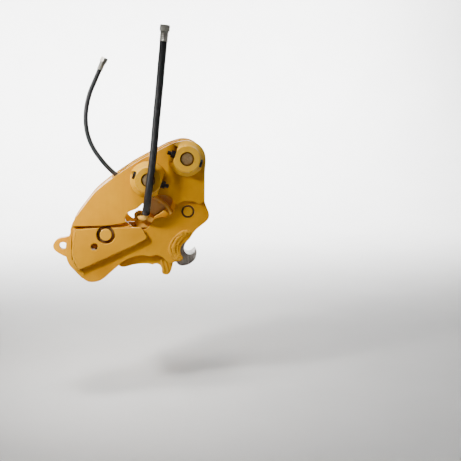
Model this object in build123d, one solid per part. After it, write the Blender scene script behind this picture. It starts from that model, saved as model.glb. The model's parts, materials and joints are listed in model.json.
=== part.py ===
from build123d import *
import math
import os

# Hydraulic quick coupler, millimetres.
# Frame: +Z up, the side plates lie in XZ, the pins run along Y.
# Origin: centre of the upper (arm) pin, on the middle plane between the plates.

os.makedirs("parts", exist_ok=True)

# ---------------------------------------------------------------- dimensions
GAP = 36.0            # half the clear width between the side plates
PLATE_T = 12.0        # side plate
EAR_T = 8.0           # ear doubler on the upper half of each plate
LOW_T = 10.0          # doubler on the lower rear corner
Y1 = GAP + PLATE_T    # 48, outer face of the side plate
Y2 = Y1 + EAR_T       # 56, outer face of the ear doubler
Y3 = Y1 + LOW_T       # 58, outer face of the lower doubler
Y4 = 80.0             # front face of the pin bosses

P1 = (0.0, 0.0)           # arm pin
P2 = (-97.2, -51.4)       # link pin
PA = (-206.0, -190.6)     # cylinder base pin
PB = (3.0, -136.4)        # hook pivot pin
PC = (1.0, -186.0)        # rod eye pin on the hook, at rest
PH = (-235.2, -220.4)     # lock pin hole
PL = (-316.7, -225.1)     # lifting eye hole
FRONT_SEAT = (8.5, -238.0)   # attachment pin in the moving hook
REAR_SEAT = (-80.4, -288.3)  # attachment pin in the fixed hooks

PIN_D = 30.0          # arm, link and base pins, and the attachment pins
PIVOT_D = 24.0        # hook pivot pin
EYE_PIN_D = 20.0      # rod eye pin
RUN = 0.05            # radial clearance of a turning pin
EYE_PLAY = 0.75       # radial clearance of the rod eye, taken up as the hook swings
SEAT_R = PIN_D / 2 + 0.1

BOSS_BASE_R = 45.5
BOSS_MID_R = 35.5
BOSS_TOP_R = 31.5
HOOK_HALF = 27.0      # moving hook
CHEEK_IN = 28.0       # inner face of the fixed hooks

BARREL_OD = 46.0
BARREL_ID = 36.0
ROD_D = 22.0
EYE_HALF = 10.2       # rod eye half width
CAP_HALF = 24.0       # base eye half width

THICK_OD = 18.5       # pressure hose
THIN_OD = 11.5        # return hose


# ---------------------------------------------------------------- helpers
def plane_y(y):
    return Plane(origin=(0, y, 0), x_dir=(1, 0, 0), z_dir=(0, -1, 0))


def slab(face, ya, yb):
    # solid from Y = ya to Y = yb out of a face drawn in (X, Z)
    return extrude(plane_y(yb) * face, amount=yb - ya)


def rod_y(c, r, ya, yb):
    return slab(Pos(c[0], c[1]) * Circle(r), ya, yb)


def outline(start, segs):
    # segs: ("L", points), ("S", points), ("A", mid, end)
    edges = []
    p = start
    for s in segs:
        if s[0] == "L":
            for q in s[1]:
                edges.append(Line(p, q))
                p = q
        elif s[0] == "S":
            edges.append(Spline([p] + list(s[1])))
            p = s[1][-1]
        else:
            edges.append(ThreePointArc(p, s[1], s[2]))
            p = s[2]
    if math.dist(p, start) > 1e-6:
        edges.append(Line(p, start))
    return make_face(Wire(edges))


def rounded(pts, radii):
    return make_face(FilletPolyline(*pts, radius=radii, close=True))


def both(make):
    # near side (left, -Y) and far side (right, +Y) of a mirrored piece
    a = make()
    return a, mirror(a, about=Plane.XZ)


def save(shape, name, colour=None):
    solids = shape.solids() if not isinstance(shape, list) else [s for x in shape for s in x.solids()]
    out = solids[0] if len(solids) == 1 else Compound(children=list(solids))
    out.label = name
    export_step(out, f"parts/{name}.step")
    return out


def tube_path(points, dia, name):
    # straight runs joined by arcs as large as the two runs allow
    v = [Vector(*p) for p in points]
    radii = []
    for i in range(1, len(v) - 1):
        a, b = v[i] - v[i - 1], v[i + 1] - v[i]
        turn = a.get_angle(b)
        radii.append(0.45 * min(a.length, b.length) / math.tan(math.radians(turn / 2)))
    path = FilletPolyline(*points, radius=radii)
    length = path.length
    start = Plane(origin=points[0], z_dir=(v[1] - v[0]).normalized())
    body = sweep(start * Circle(dia / 2), path=path)
    want = math.pi * dia * dia / 4 * length
    print(f"{name}: length {length:.1f}, radii {[round(r) for r in radii]}, "
          f"volume ratio {body.volume / want:.4f}")
    return body


def along(p, d, r, length, start=0.0):
    d = Vector(*d).normalized()
    o = Vector(*p) + d * start
    return extrude(Plane(origin=o, z_dir=d) * Circle(r), amount=length)


def hexagon(p, d, flats, length, start=0.0):
    d = Vector(*d).normalized()
    o = Vector(*p) + d * start
    return extrude(Plane(origin=o, z_dir=d) * RegularPolygon(flats / 2, 6, major_radius=False), amount=length)


# ---------------------------------------------------------------- side plates
EAR_TOP = [(-290.0, -164.5), (-280.6, -147.3), (-265.8, -127.4), (-251.0, -108.5), (-236.8, -91.0),
           (-221.6, -75.6), (-204.0, -61.6), (-185.7, -48.0), (-165.3, -34.0), (-135.2, -14.6),
           (-113.6, -2.0), (-94.8, 7.6), (-73.5, 18.6), (-44.4, 33.6)]

main_face = outline((-289.0, -240.0), [
    ("L", [(-289.5, -262.0)]),
    ("S", [(-284.5, -284.0), (-266.0, -304.0), (-256.0, -311.5), (-244.4, -314.0), (-228.0, -312.0),
           (-210.0, -301.5), (-195.7, -288.8), (-177.6, -273.7), (-164.0, -262.5), (-147.9, -253.8),
           (-131.3, -248.8), (-116.0, -247.4)]),
    ("S", [(-103.0, -249.0), (-96.5, -250.2), (-88.0, -248.4), (-75.3, -248.7), (-65.1, -253.1),
           (-57.5, -259.8), (-49.0, -267.8)]),
    ("S", [(-43.5, -269.6), (-38.1, -268.8), (-26.7, -266.4), (-19.0, -265.5), (-13.6, -262.0), (-10.6, -257.2)]),
    ("A", (-17.9, -238.0), (-10.2, -219.0)),
    ("L", [(-0.8, -213.4), (6.6, -207.6)]),
    ("L", [(15.8, -193.0), (23.9, -183.5), (40.2, -170.4)]),
    ("S", [(51.0, -161.6), (56.6, -152.7), (57.2, -143.5), (54.5, -133.5), (49.5, -121.5), (46.0, -109.5)]),
    ("L", [(43.6, -104.0), (43.6, -44.0)]),
    ("S", [(45.6, -14.0), (44.6, 9.0), (36.0, 26.0), (20.0, 37.5), (1.0, 42.2), (-20.0, 39.2), (-44.0, 31.0)]),
    ("S", [(x + 1.0, z - 2.4) for x, z in EAR_TOP[-2:0:-1]] + [(-288.0, -166.0)]),
    ("L", [(-290.0, -190.0)]),
])

ear_face = outline((-288.0, -166.6), [
    ("S", [EAR_TOP[0]]),
    ("S", EAR_TOP[1:]),
    ("S", [(-20.0, 41.8), (1.0, 44.7), (21.0, 40.2), (38.0, 28.0), (47.4, 10.0), (48.4, -14.0), (46.2, -44.0)]),
    ("L", [(45.4, -107.6)]),
    ("S", [(39.0, -113.0), (32.0, -115.2), (21.3, -110.9), (5.2, -107.4), (-7.5, -108.2), (-25.0, -114.2)]),
    ("S", [(-60.0, -120.0), (-110.0, -140.0), (-150.0, -157.0)]),
    ("S", [(-157.0, -159.6), (-182.1, -164.0), (-219.5, -166.6), (-250.0, -166.4)]),
])

window_face = make_face(Spline(
    [(-157.2, -149.0), (-153.0, -140.0), (-144.9, -132.4), (-135.0, -128.6), (-126.0, -124.8), (-116.7, -116.8),
     (-104.0, -106.5), (-91.6, -97.6), (-81.0, -92.6), (-64.0, -91.3), (-47.0, -94.9), (-35.0, -104.5),
     (-27.6, -117.5), (-30.0, -128.8), (-36.8, -140.6), (-46.5, -147.6), (-60.0, -150.2), (-76.0, -151.0),
     (-84.0, -155.6), (-92.8, -167.0), (-103.7, -179.6), (-122.0, -180.4), (-137.3, -173.8), (-151.0, -161.5)],
    periodic=True))
FAR_HOLE = (-128.0, -141.5)
far_hole_face = Pos(*FAR_HOLE) * Circle(24.0)

quad_face = rounded([(-281.5, -176.0), (-234.0, -172.8), (-118.0, -173.6), (-102.6, -197.4), (-106.5, -203.6),
                     (-128.7, -215.0), (-225.0, -257.3), (-274.5, -277.6), (-289.6, -236.7)],
                    [3, 40, 7, 7, 5, 20, 60, 4, 12])


def side_plate(sign, hole):
    p = slab(main_face, GAP, Y1)
    p -= slab(hole, GAP - 1, Y1 + 1)
    p -= rod_y(P1, PIN_D / 2 + 0.05, GAP - 1, Y1 + 1)
    p -= rod_y(P2, PIN_D / 2 + 0.05, GAP - 1, Y1 + 1)
    p -= rod_y(PA, PIN_D / 2 + 0.05, GAP - 1, Y1 + 1)
    p -= rod_y(PB, PIVOT_D / 2 + 0.05, GAP - 1, Y1 + 1)
    p -= rod_y(PB, 17.0, Y1 - 5.0, Y1 + 1)       # recess of the pivot pin
    p -= rod_y(PH, 9.0, GAP - 1, Y1 + 1)
    return p if sign > 0 else mirror(p, about=Plane.XZ)


def ear(sign, hole):
    p = slab(ear_face, Y1, Y2)
    p -= slab(hole, Y1 - 1, Y2 + 1)
    p -= rod_y(P1, PIN_D / 2 + 0.05, Y1 - 1, Y2 + 1)
    p -= rod_y(P2, PIN_D / 2 + 0.05, Y1 - 1, Y2 + 1)
    p -= rod_y(PA, 24.0, Y1 - 1, Y2 + 1)         # the base pin's ring bites into the lower edge
    return p if sign > 0 else mirror(p, about=Plane.XZ)


def low(sign):
    p = slab(quad_face, Y1, Y3)
    p -= rod_y(PA, 23.6, Y1 - 1, Y3 + 1)
    p -= rod_y(PH, 9.0, Y1 - 1, Y3 + 1)
    return p if sign > 0 else mirror(p, about=Plane.XZ)


save(side_plate(-1, window_face), "side_plate_left")
save(side_plate(1, far_hole_face), "side_plate_right")
save(ear(-1, window_face), "ear_doubler_left")
save(ear(1, far_hole_face), "ear_doubler_right")
save(low(-1), "lower_doubler_left")
save(low(1), "lower_doubler_right")


# ---------------------------------------------------------------- pin bosses
BOLT_DIR = (math.cos(math.radians(-19.0)), math.sin(math.radians(-19.0)))
BOLT_Y = 68.0
BOLT_R = 5.0
# nut's side along the bolt, distance of its flat from the pin, half the flat's width
FLATS = {P1: (-1, 30.5, 21.0), P2: (1, 33.5, 27.0)}


def boss(c, drilled):
    prof = make_face(Polyline([(PIN_D / 2 + 0.05, Y2), (BOSS_BASE_R, Y2), (BOSS_BASE_R, Y2 + 4.0),
                               (BOSS_MID_R, Y4 - 7.5), (BOSS_TOP_R + 1.6, Y4 - 1.2), (BOSS_TOP_R, Y4),
                               (18.0, Y4), (17.4, Y4 - 4.0), (PIN_D / 2 + 0.05, Y4 - 4.0)], close=True))
    b = revolve(Plane(origin=(0, 0, 0), x_dir=(1, 0, 0), z_dir=(0, 0, 1)) * prof, Axis.Y)
    b = Pos(c[0], 0, c[1]) * b
    # the base is trimmed to the ear's outline
    b = b & slab(ear_face, Y2 - 1, Y4 + 1)
    if drilled:
        b = mirror(b, about=Plane.XZ)
        d = (BOLT_DIR[0], 0, BOLT_DIR[1])
        o = (c[0] - 70 * d[0], -BOLT_Y, c[1] - 70 * d[2])
        b -= along(o, d, BOLT_R + 0.05, 140)
        # narrow pocket for the head, wide flat for the nut
        side, start, half = FLATS[c]
        b -= along((c[0], -BOLT_Y, c[1]), (-side * d[0], 0, -side * d[2]), 10.5, 30, 33.0)
        n, t = (side * d[0], side * d[2]), (-d[2], d[0])
        flat = make_face(Polyline([(c[0] + n[0] * r + t[0] * w, c[1] + n[1] * r + t[1] * w)
                                   for r, w in ((start, -half), (start + 30, -half), (start + 30, half), (start, half))], close=True))
        b -= slab(flat, -Y4 - 1, -Y2)
        b = b.solids().sort_by(SortBy.VOLUME)[-1]
    return b


save(boss(P1, True), "arm_boss_left")
save(boss(P2, True), "link_boss_left")
save(boss(P1, False), "arm_boss_right")
save(boss(P2, False), "link_boss_right")


def top_pin(c):
    r = PIN_D / 2
    prof = make_face(Polyline([(0, -Y4 + 2.5), (r - 2.4, -Y4 + 2.5), (r, -Y4 + 4.6), (r, Y4 - 4.6),
                               (r - 2.4, Y4 - 2.5), (0, Y4 - 2.5)], close=True))
    p = revolve(prof, Axis.Y)
    p -= Pos(0, -Y4 + 2.5, 0) * Rot(90, 0, 0) * Cone(0.3, 3.0, 3.0)      # centre drilling
    p -= Pos(0, Y4 - 2.5, 0) * Rot(90, 0, 0) * Cone(3.0, 0.3, 3.0)
    p = Pos(c[0], 0, c[1]) * p
    d = (BOLT_DIR[0], 0, BOLT_DIR[1])
    p -= along((c[0] - 40 * d[0], -BOLT_Y, c[1] - 40 * d[2]), d, BOLT_R + 0.05, 80)
    return p


save(top_pin(P1), "arm_pin")
save(top_pin(P2), "link_pin")


def cross_bolt(c):
    side, start, half = FLATS[c]
    d = (side * BOLT_DIR[0], 0, side * BOLT_DIR[1])
    n = (-d[0], 0, -d[2])
    o = (c[0], -BOLT_Y, c[1])
    end = start + 20.0
    b = along(o, n, BOLT_R, 33.0 + end, -end)
    b += hexagon(o, n, 16.0, 7.0, 33.0)
    b += along(o, n, 9.5, 1.5, 33.0)
    b = b.solids().sort_by(SortBy.VOLUME)[-1]
    nut = along(o, d, 9.5, 1.6, start) + hexagon(o, d, 16.0, 9.0, start + 1.6) - along(o, d, BOLT_R, 14, start - 1.0)
    return b, nut


for c, nm in ((P1, "arm_pin"), (P2, "link_pin")):
    b, n = cross_bolt(c)
    save(b, f"{nm}_bolt")
    save(n, f"{nm}_nut")


# ---------------------------------------------------------------- rear closing plates
upper_cover = outline((-189.0, -52.4), [
    ("S", [(-204.2, -64.2), (-221.5, -78.2), (-237.0, -93.8), (-251.5, -111.2),
           (-266.0, -130.0), (-280.6, -149.6), (-286.5, -161.0)]),
    ("L", [(-288.6, -166.8), (-288.8, -174.0), (-280.4, -174.0), (-280.0, -168.0)]),
    ("S", [(-274.0, -154.5), (-259.5, -135.0), (-245.0, -116.2), (-231.0, -99.5),
           (-216.0, -84.4), (-199.0, -70.8), (-184.4, -59.0)]),
])
save(slab(upper_cover, -GAP, GAP), "upper_rear_plate")

lower_cover = outline((-290.8, -167.5), [
    ("L", [(-293.4, -176.0), (-294.6, -187.6)]),
    ("S", [(-300.6, -198.5), (-306.2, -218.1), (-307.4, -234.0), (-306.0, -249.1), (-297.6, -270.5)]),
    ("L", [(-268.5, -303.6), (-261.4, -297.6), (-287.6, -268.4)]),
    ("S", [(-291.8, -258.0), (-293.2, -244.0), (-293.0, -230.0), (-292.4, -214.0), (-291.4, -200.0)]),
    ("L", [(-290.3, -190.0), (-288.8, -168.0)]),
])
lower_cover_body = slab(lower_cover, -Y1, Y1) - slab(main_face, GAP - 0.02, Y1 + 1) - slab(main_face, -Y1 - 1, -GAP + 0.02)
save(lower_cover_body.solids().sort_by(SortBy.VOLUME)[-1], "lower_rear_plate")

eye_face = outline((-303.0, -201.5), [
    ("S", [(-312.0, -203.6), (-325.6, -206.0), (-336.0, -213.2), (-342.0, -224.4), (-339.0, -235.6),
           (-330.0, -243.6), (-318.0, -251.0), (-305.0, -256.0)]),
    ("L", [(-303.0, -254.0)]),
])
eye_face = eye_face - Pos(*PL) * Circle(9.5)
eye = slab(eye_face, -8, 8) - slab(lower_cover, -20, 20)
save(eye.solids().sort_by(SortBy.VOLUME)[-1], "lifting_eye")

# cross bar over the cylinder
gusset = rounded([(-84.5, -151.5), (-54.0, -133.0), (-46.5, -143.5), (-52.0, -149.5), (-79.5, -159.5)],
                 [1.5, 5.0, 5.0, 3.0, 1.5])
save(slab(gusset, -GAP, GAP), "cross_bar")

# guard plate standing on the cross bar, between the window and the inside
guard = rounded([(-96.0, -86.5), (-47.0, -86.5), (-33.0, -104.0), (-36.0, -124.0), (-54.6, -132.9), (-83.4, -150.4), (-97.0, -141.0)],
                [6.0, 8.0, 6.0, 5.0, 1.5, 1.5, 5.0])
save(slab(guard, -20.5, -16.5), "guard_plate")

# front tie plate between the ears, above the pivot pin
front_tie = rounded([(32.0, -52.0), (42.0, -52.0), (42.0, -98.0), (32.0, -98.0)], 2.0)
save(slab(front_tie, -GAP, GAP), "front_tie_plate")

# bottom plate in the nose
nose_plate = outline((-255.5, -303.0), [
    ("S", [(-244.0, -305.0), (-230.5, -303.0), (-214.0, -293.0), (-199.5, -280.8)]),
    ("L", [(-205.5, -274.0)]),
    ("S", [(-218.5, -285.0), (-233.0, -294.0), (-244.0, -296.0), (-253.0, -294.6)]),
])
save(slab(nose_plate, -GAP, GAP), "nose_plate")

# ---------------------------------------------------------------- fixed rear hooks
cheek = outline((-176.0, -232.0), [
    ("L", [(-176.0, -274.5)]),
    ("S", [(-171.0, -278.0), (-165.2, -279.4), (-152.4, -277.6), (-142.1, -274.9), (-126.7, -272.7),
           (-108.7, -272.2), (-96.0, -273.6), (-89.5, -276.2)]),
    ("S", [(-88.2, -275.3)]),
    ("A", (REAR_SEAT[0] + SEAT_R * math.cos(math.radians(66)), REAR_SEAT[1] + SEAT_R * math.sin(math.radians(66))),
     (REAR_SEAT[0] + SEAT_R, REAR_SEAT[1])),
    ("L", [(REAR_SEAT[0] + SEAT_R, -296.5)]),
    ("S", [(-62.4, -300.8), (-56.0, -303.0), (-49.0, -302.2), (-44.0, -297.0), (-40.6, -290.0), (-37.0, -276.0)]),
    ("L", [(-34.5, -262.0), (-38.0, -244.0), (-60.0, -236.0)]),
])


def cheek_plate():
    p = slab(cheek, CHEEK_IN, GAP)
    p -= rod_y(REAR_SEAT, SEAT_R, CHEEK_IN - 1, GAP + 1)
    return p


l, r = both(cheek_plate)
save(r, "fixed_hook_left")
save(l, "fixed_hook_right")


# ---------------------------------------------------------------- pins of the lower part
def headed_pin(c, r, half, groove_y):
    prof = make_face(Polyline([(0, -half), (r - 1.2, -half), (r, -half + 1.2), (r, -groove_y - 2.1), (r - 1.2, -groove_y - 2.1),
                               (r - 1.2, -groove_y), (r, -groove_y), (r, groove_y), (r - 1.2, groove_y),
                               (r - 1.2, groove_y + 2.1), (r, groove_y + 2.1), (r, half - 1.2), (r - 1.2, half), (0, half)],
                              close=True))
    p = revolve(prof, Axis.Y)
    p -= Pos(0, -half, 0) * Rot(90, 0, 0) * Cone(0.3, 1.8, 2.0)
    p -= Pos(0, half, 0) * Rot(90, 0, 0) * Cone(1.8, 0.3, 2.0)
    return Pos(c[0], 0, c[1]) * p


def rings(c, r, groove_y, out_r, gap_dir):
    made = []
    for s in (-1, 1):
        face = Circle(out_r) - Circle(r - 1.2) - Pos(0, gap_dir * out_r) * Rectangle(5.0, out_r * 1.1)
        a, b = (groove_y + 0.1, groove_y + 2.0) if s > 0 else (-groove_y - 2.0, -groove_y - 0.1)
        made.append(Pos(c[0], 0, c[1]) * slab(face, a, b))
    return made


save(headed_pin(PA, PIN_D / 2, Y3 - 0.5, Y1 + 0.1), "cylinder_base_pin")
save(rings(PA, PIN_D / 2, Y1 + 0.1, 22.4, 1), "base_pin_rings")
save(headed_pin(PB, PIVOT_D / 2, Y1 - 0.4, Y1 - 4.9), "hook_pivot_pin")
save(rings(PB, PIVOT_D / 2, Y1 - 4.9, 16.6, -1), "pivot_pin_rings")

# ---------------------------------------------------------------- moving hook
hook_face = outline((-17.8, -150.0), [
    ("A", (3.0 + 25.4 * math.cos(math.radians(100)), -136.4 + 25.4 * math.sin(math.radians(100))), (27.2, -144.0)),
    ("S", [(25.6, -160.0), (22.2, -177.0), (18.6, -191.0), (11.5, -203.0), (6.0, -210.5), (2.0, -216.5), (-1.5, -221.6)]),
    ("S", [(-4.6, -226.2), (-6.3, -232.0), (FRONT_SEAT[0] - SEAT_R, FRONT_SEAT[1])]),
    ("A", (FRONT_SEAT[0] + SEAT_R * math.cos(math.radians(240)) * 1.0, FRONT_SEAT[1] + SEAT_R * math.sin(math.radians(240))),
     (FRONT_SEAT[0] + SEAT_R * math.cos(math.radians(345)), FRONT_SEAT[1] + SEAT_R * math.sin(math.radians(345)))),
    ("S", [(24.3, -240.3), (25.8, -243.2), (26.2, -249.0), (25.0, -257.0), (21.8, -265.2), (14.6, -273.0), (6.3, -278.6),
           (-6.9, -282.2), (-18.0, -281.6), (-25.0, -276.0), (-29.0, -264.0)]),
    ("S", [(-29.6, -244.0), (-28.0, -233.0), (-22.5, -227.0), (-19.2, -218.0), (-18.8, -207.0), (-18.6, -194.5)]),
    ("A", (PC[0] - 18.6, PC[1]), (PC[0] - 17.2, PC[1] + 9.0)),
    ("S", [(-17.2, -165.0)]),
])
hook = slab(hook_face, -HOOK_HALF, HOOK_HALF)
hook -= rod_y(FRONT_SEAT, SEAT_R, -HOOK_HALF - 1, HOOK_HALF + 1)
hook -= rod_y(PB, 16.0, -HOOK_HALF - 1, HOOK_HALF + 1)
hook -= rod_y(PC, EYE_PIN_D / 2 + 0.0, -HOOK_HALF - 1, HOOK_HALF + 1)
slot = Pos(PC[0], PC[1]) * Circle(20.5) + Pos(PC[0] - 20, PC[1] + 0.5) * Rectangle(40, 41)
hook -= slab(slot, -EYE_HALF - 0.8, EYE_HALF + 0.8)
# the lip is highest in the middle and falls away to both sides
for s in (-1, 1):
    fall = make_face(Polyline([(s * 12.0, -239.0), (s * 28.5, -248.5), (s * 28.5, -228.0), (s * 12.0, -228.0)], close=True))
    hook -= extrude(Plane(origin=(13.0, 0, 0), x_dir=(0, 1, 0), z_dir=(1, 0, 0)) * fall, amount=25.0)
hook = hook.solids().sort_by(SortBy.VOLUME)[-1]
save(hook, "moving_hook")
bush = rod_y(PB, 16.0, -HOOK_HALF, HOOK_HALF) - rod_y(PB, PIVOT_D / 2 + RUN, -50, 50)
save(bush, "hook_bush")
spacer = Circle(19.0) - Circle(PIVOT_D / 2 + 0.25)
save([Pos(PB[0], 0, PB[1]) * slab(spacer, HOOK_HALF + 0.4, GAP - 0.3),
      Pos(PB[0], 0, PB[1]) * slab(spacer, -GAP + 0.3, -HOOK_HALF - 0.4)], "pivot_spacers")
eye_pin = rod_y(PC, EYE_PIN_D / 2, -HOOK_HALF - 0.5, HOOK_HALF + 0.5)
save(eye_pin, "rod_eye_pin")

# ---------------------------------------------------------------- cylinder
ANG = math.degrees(math.atan2(PC[1] - PA[1], PC[0] - PA[0]))
LEN = math.dist(PA, PC)
U = (math.cos(math.radians(ANG)), math.sin(math.radians(ANG)))


def on_axis(s, perp=0.0):
    # point at distance s from the base pin along the cylinder, offset upward by perp
    return (PA[0] + s * U[0] - perp * U[1], PA[1] + s * U[1] + perp * U[0])


def turned(pts, cut=None):
    # body of revolution about the cylinder axis, pts = (distance along, radius)
    prof = make_face(Polyline([(x, y) for x, y in pts], close=True))
    b = revolve(prof, Axis.X)
    return Pos(PA[0], 0, PA[1]) * Rot(0, -ANG, 0) * b


print("cylinder", round(ANG, 3), round(LEN, 2))
S_CAP, S_HEAD = 42.0, 150.0
ro, ri = BARREL_OD / 2, BARREL_ID / 2
cap = rod_y(PA, 25.5, -CAP_HALF, CAP_HALF) + turned([(0, 0), (S_CAP, 0), (S_CAP, ro), (10, ro), (0, 19)])
cap -= rod_y(PA, PIN_D / 2 + 3.0, -40, 40)
save(cap, "cylinder_base")
save(rod_y(PA, PIN_D / 2 + 3.0, -CAP_HALF, CAP_HALF) - rod_y(PA, PIN_D / 2 + RUN, -40, 40), "base_bush")
spacer_a = Circle(22.0) - Circle(PIN_D / 2 + 0.25)
save([Pos(PA[0], 0, PA[1]) * slab(spacer_a, CAP_HALF + 0.4, GAP - 0.3),
      Pos(PA[0], 0, PA[1]) * slab(spacer_a, -GAP + 0.3, -CAP_HALF - 0.4)], "base_spacers")

barrel = turned([(S_CAP, ri), (S_CAP, ro), (S_HEAD, ro), (S_HEAD, ri)])
# block with the pressure port on the near side, its ring-shaped mouth in the window
PORT = (-118.9, -150.0)
block_face = outline((-133.5, -153.6), [
    ("A", (PORT[0] - 9.0, PORT[1] + 12.0), (-107.0, -145.2)),
    ("L", [(-84.0, -154.2), (-91.0, -168.0), (-99.0, -178.0), (-124.0, -178.0), (-132.0, -168.0)]),
])
block = slab(block_face, -31.5, -8.0) + rod_y(PORT, 13.6, -34.5, -14.0)
block -= turned([(S_CAP - 10, 0), (S_CAP - 10, ro), (S_HEAD + 10, ro), (S_HEAD + 10, 0)])
block -= rod_y(PORT, 9.3, -40, -22.0)
block = block.solids().sort_by(SortBy.VOLUME)[-1]
save(barrel, "cylinder_barrel")
save(block, "port_block")

gland = turned([(S_HEAD - 12, ROD_D / 2 + 0.05), (S_HEAD - 12, ri), (S_HEAD, ri), (S_HEAD, ro), (S_HEAD + 4, ro),
                (S_HEAD + 10, ro - 6), (S_HEAD + 10, ROD_D / 2 + 4.0), (S_HEAD + 5, ROD_D / 2 + 4.0),
                (S_HEAD + 5, ROD_D / 2 + 0.05)])
save(gland, "gland")
save(turned([(S_HEAD + 5.1, ROD_D / 2 + 0.05), (S_HEAD + 5.1, ROD_D / 2 + 3.9), (S_HEAD + 9.6, ROD_D / 2 + 3.9),
             (S_HEAD + 10.8, ROD_D / 2 + 1.0), (S_HEAD + 10.8, ROD_D / 2 + 0.05)]), "rod_wiper")
S_PIS = 106.0
rod = turned([(S_PIS - 8, 0), (S_PIS - 8, 8), (S_PIS + 16, 8), (S_PIS + 16, ROD_D / 2), (LEN - 15, ROD_D / 2), (LEN - 15, 0)])
rod_eye = rod_y(PC, 17.0, -EYE_HALF, EYE_HALF)
rod = rod + rod_eye - rod_y(PC, EYE_PIN_D / 2 + EYE_PLAY, -20, 20)
save(rod, "piston_rod")
piston = turned([(S_PIS, 8), (S_PIS, ri - 0.08), (S_PIS + 5, ri - 0.08), (S_PIS + 5, ri - 3), (S_PIS + 11, ri - 3),
                 (S_PIS + 11, ri - 0.08), (S_PIS + 16, ri - 0.08), (S_PIS + 16, 8)])
save(piston, "piston")
save(turned([(S_PIS + 5.1, ri - 2.95), (S_PIS + 5.1, ri - 0.04), (S_PIS + 10.9, ri - 0.04), (S_PIS + 10.9, ri - 2.95)]),
     "piston_seal")

# ---------------------------------------------------------------- hoses and fittings
# steel elbow from the gland side of the cylinder to the return hose
ELBOW = [(-72.0, -27.0, -199.0), (-52.0, -29.5, -188.0), (-40.5, -29.5, -166.0), (-36.5, -29.5, -144.0),
         (-46.0, -29.5, -126.5), (-63.5, -29.5, -111.6)]
elbow = tube_path(ELBOW, 10.5, "return_elbow")
save(elbow, "return_elbow")
port_boss = rod_y((-74.0, -200.1), 9.0, -33.0, -8.0)
port_boss -= turned([(S_CAP, 0), (S_CAP, ro), (S_HEAD, ro), (S_HEAD, 0)])
port_boss = port_boss.solids().sort_by(SortBy.VOLUME)[-1] - elbow
save(port_boss.solids().sort_by(SortBy.VOLUME)[-1], "return_port_boss")

# return hose: stands up behind the ears, then drops between them to the elbow
THIN = [(-209.9, -28.0, 217.9), (-222.6, -28.0, 190.8), (-236.0, -28.0, 161.7), (-244.6, -28.0, 130.0),
        (-248.6, -28.0, 96.6), (-245.4, -28.0, 61.0), (-233.5, -28.0, 28.0), (-215.5, -28.0, 0.0),
        (-192.5, -28.2, -28.0), (-168.0, -28.6, -49.0), (-137.0, -29.0, -64.5), (-112.5, -29.3, -75.6)]
e_end = Vector(*ELBOW[-1])
e_dir = (e_end - Vector(*ELBOW[-2])).normalized()
nut2_len = 9.0
save(hexagon(tuple(e_end), tuple(e_dir), 14.0, nut2_len), "return_nut")
f_start = e_end + e_dir * nut2_len
ferr_len = 13.0
save(along(tuple(f_start), tuple(e_dir), 6.9, ferr_len), "return_ferrule")
h_start = f_start + e_dir * ferr_len
print("return hose ends", [tuple(round(v, 1) for v in p) for p in (h_start + e_dir * 15.0, h_start)])
h_pts = THIN + [tuple(h_start + e_dir * 15.0), tuple(h_start)]
save(tube_path(h_pts, THIN_OD, "return_hose"), "return_hose")
t0 = Vector(*THIN[0])
t_dir = (t0 - Vector(*THIN[1])).normalized()
save(along(tuple(t0), tuple(t_dir), 7.4, 20.0), "return_top_ferrule")
top_nut = hexagon(tuple(t0), tuple(t_dir), 17.0, 12.0, 20.0) - along(tuple(t0), tuple(t_dir), 5.0, 9.0, 24.0)
save(top_nut, "return_top_nut")

# pressure hose: in front of the link boss, down into the window
THICK = [(-54.7, -92.0, 282.6), (-61.0, -92.4, 226.0), (-66.6, -92.0, 171.0), (-73.2, -92.6, 114.0),
         (-78.6, -92.2, 64.0), (-83.8, -93.0, 14.0), (-90.6, -93.6, -34.0), (-96.6, -94.0, -72.5),
         (-100.4, -86.0, -102.0), (-102.8, -75.5, -122.0)]
save(tube_path(THICK, THICK_OD, "pressure_hose"), "pressure_hose")
k0, k1 = Vector(*THICK[-1]), Vector(*THICK[-2])
k_dir = (k0 - k1).normalized()
save(along(tuple(k0), tuple(k_dir), 9.9, 17.0), "pressure_ferrule")
k2 = k0 + k_dir * 17.0
# bent tail of the hose fitting, turning into the port
TAIL = [tuple(k2), tuple(k2 + k_dir * 9.0), (-111.5, -55.0, -151.0), (PORT[0], -45.0, PORT[1]), (PORT[0], -22.0, PORT[1])]
print("tail", [tuple(round(v, 1) for v in p) for p in TAIL])
tail = tube_path(TAIL, 12.5, "pressure_tail")
save(tail, "pressure_tail")
g0 = Vector(*THICK[0])
g_dir = (g0 - Vector(*THICK[1])).normalized()
save(along(tuple(g0), tuple(g_dir), 10.6, 24.0), "pressure_top_ferrule")
gn = hexagon(tuple(g0), tuple(g_dir), 24.0, 15.0, 24.0) - along(tuple(g0), tuple(g_dir), 7.5, 11.0, 29.0)
save(gn, "pressure_top_nut")
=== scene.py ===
import json
import math
import random

import bmesh
import bpy
from mathutils import Matrix, Vector, noise
from mathutils.bvhtree import BVHTree

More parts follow.
